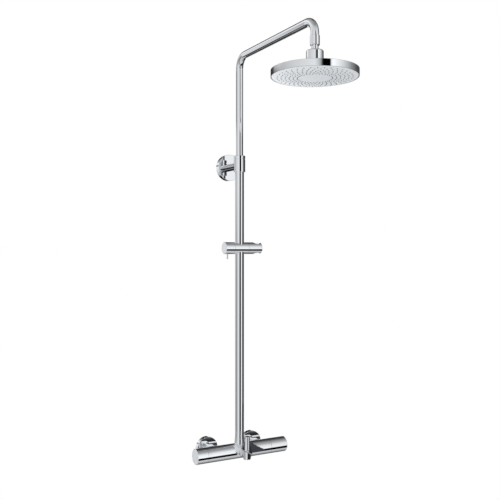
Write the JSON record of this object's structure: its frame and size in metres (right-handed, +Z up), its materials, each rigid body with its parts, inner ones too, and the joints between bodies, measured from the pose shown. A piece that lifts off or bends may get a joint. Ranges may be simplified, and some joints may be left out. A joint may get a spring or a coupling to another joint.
{
  "type": "rainfall shower column",
  "caption": "Chrome thermostatic bath and shower column with a swivelling arm, a tilting round rain head, a sliding hand-shower holder and a bath spout with a pull diverter.",
  "frame": {"origin": "on the wall plane, midway between the two water inlets", "axes": "+Z up along the column, +Y into the wall, +X to the right of a user who faces the wall"},
  "size_m": [0.299, 0.604, 1.2141],
  "materials": {
    "chrome": "mirror-polished chrome plating",
    "brass": "machined brass",
    "steel": "stainless steel",
    "spray_face": "satin light grey plastic",
    "nozzle": "soft grey silicone",
    "inner_plastic": "white technical plastic",
    "rubber": "black rubber"
  },
  "bodies": {
    "column": {"mixer_body": "chrome", "wall_connector_left": "brass", "wall_connector_right": "brass", "union_nut_left": "chrome", "union_nut_right": "chrome", "rosette_left": "chrome", "rosette_right": "chrome", "inlet_washers": "rubber", "check_valves": "inner_plastic", "thermostat_cartridge": "brass", "flow_cartridge": "brass", "temperature_stop_ring": "inner_plastic", "flow_stop_ring": "inner_plastic", "spout": "chrome", "aerator_ring": "chrome", "aerator_core": "inner_plastic", "column_nut": "chrome", "column_seal": "rubber", "lower_tube": "chrome", "bracket_rosette": "chrome", "bracket_plate": "steel", "bracket_rod": "chrome", "bracket_collar": "chrome", "collar_liner": "inner_plastic", "bracket_screw": "steel", "swivel_bush": "inner_plastic"},
    "temperature_control": {"temperature_handle": "chrome", "temperature_cap": "chrome", "temperature_hub": "inner_plastic", "temperature_spindle": "brass"},
    "flow_control": {"flow_handle": "chrome", "flow_cap": "chrome", "flow_hub": "inner_plastic", "flow_spindle": "brass"},
    "safety_stop": {"safety_button": "chrome"},
    "eco_stop": {"eco_button": "chrome"},
    "diverter": {"diverter_knob": "chrome", "diverter_valve": "brass", "diverter_seal": "rubber"},
    "arm": {"shower_arm": "chrome", "swivel_ring": "chrome", "pipe_seals": "rubber", "arm_nut": "chrome", "ball_stub": "chrome"},
    "ball_ring": {"ball_seat": "inner_plastic"},
    "head": {"head_collar": "chrome", "head_shell": "chrome", "spray_plate": "spray_face", "head_gasket": "rubber", "distributor": "inner_plastic", "spray_nozzles": "nozzle"},
    "carriage": {"slider_bush": "inner_plastic"},
    "slider": {"slider_body": "chrome", "holder_pivot": "steel"},
    "clamp": {"clamp_knob": "chrome", "clamp_lever": "chrome", "clamp_screw": "steel"},
    "holder": {"handset_holder": "chrome", "holder_liner": "inner_plastic"}
  },
  "joints": [
    {"name": "temperature_turn", "type": "hinge", "parent": "column", "child": "temperature_control", "pos_m": [-0.128, -0.078, 0], "axis": [1, 0, 0], "range_deg": [-140, 50]},
    {"name": "flow_turn", "type": "hinge", "parent": "column", "child": "flow_control", "pos_m": [0.126, -0.078, 0], "axis": [-1, 0, 0], "range_deg": [0, 90]},
    {"name": "safety_press", "type": "slide", "parent": "column", "child": "safety_stop", "axis": [0, 0.9135, -0.4067], "range_m": [0, 0.0012], "stiffness_N_per_m": 500},
    {"name": "eco_press", "type": "slide", "parent": "column", "child": "eco_stop", "axis": [0, 0.9135, -0.4067], "range_m": [0, 0.0012], "stiffness_N_per_m": 500},
    {"name": "diverter_pull", "type": "slide", "parent": "column", "child": "diverter", "axis": [0, 0, 1], "range_m": [0, 0.01]},
    {"name": "arm_swivel", "type": "hinge", "parent": "column", "child": "arm", "pos_m": [0, -0.078, 0.86], "axis": [0, 0, 1], "range_deg": [-60, 60]},
    {"name": "head_tilt_front", "type": "hinge", "parent": "arm", "child": "ball_ring", "pos_m": [0, -0.478, 1.0745], "axis": [1, 0, 0], "range_deg": [-12, 12]},
    {"name": "head_tilt_side", "type": "hinge", "parent": "ball_ring", "child": "head", "pos_m": [0, -0.478, 1.0745], "axis": [0, 1, 0], "range_deg": [-12, 12]},
    {"name": "slider_height", "type": "slide", "parent": "column", "child": "carriage", "axis": [0, 0, 1], "range_m": [-0.5, 0.19]},
    {"name": "slider_swivel", "type": "hinge", "parent": "carriage", "child": "slider", "pos_m": [0, -0.078, 0.602], "axis": [0, 0, 1], "range_deg": [-45, 45]},
    {"name": "clamp_turn", "type": "hinge", "parent": "slider", "child": "clamp", "pos_m": [-0.0375, -0.078, 0.602], "axis": [-1, 0, 0], "range_deg": [0, 90]},
    {"name": "holder_tilt", "type": "hinge", "parent": "slider", "child": "holder", "pos_m": [0.0455, -0.078, 0.602], "axis": [1, 0, 0], "range_deg": [-45, 45]}
  ]
}
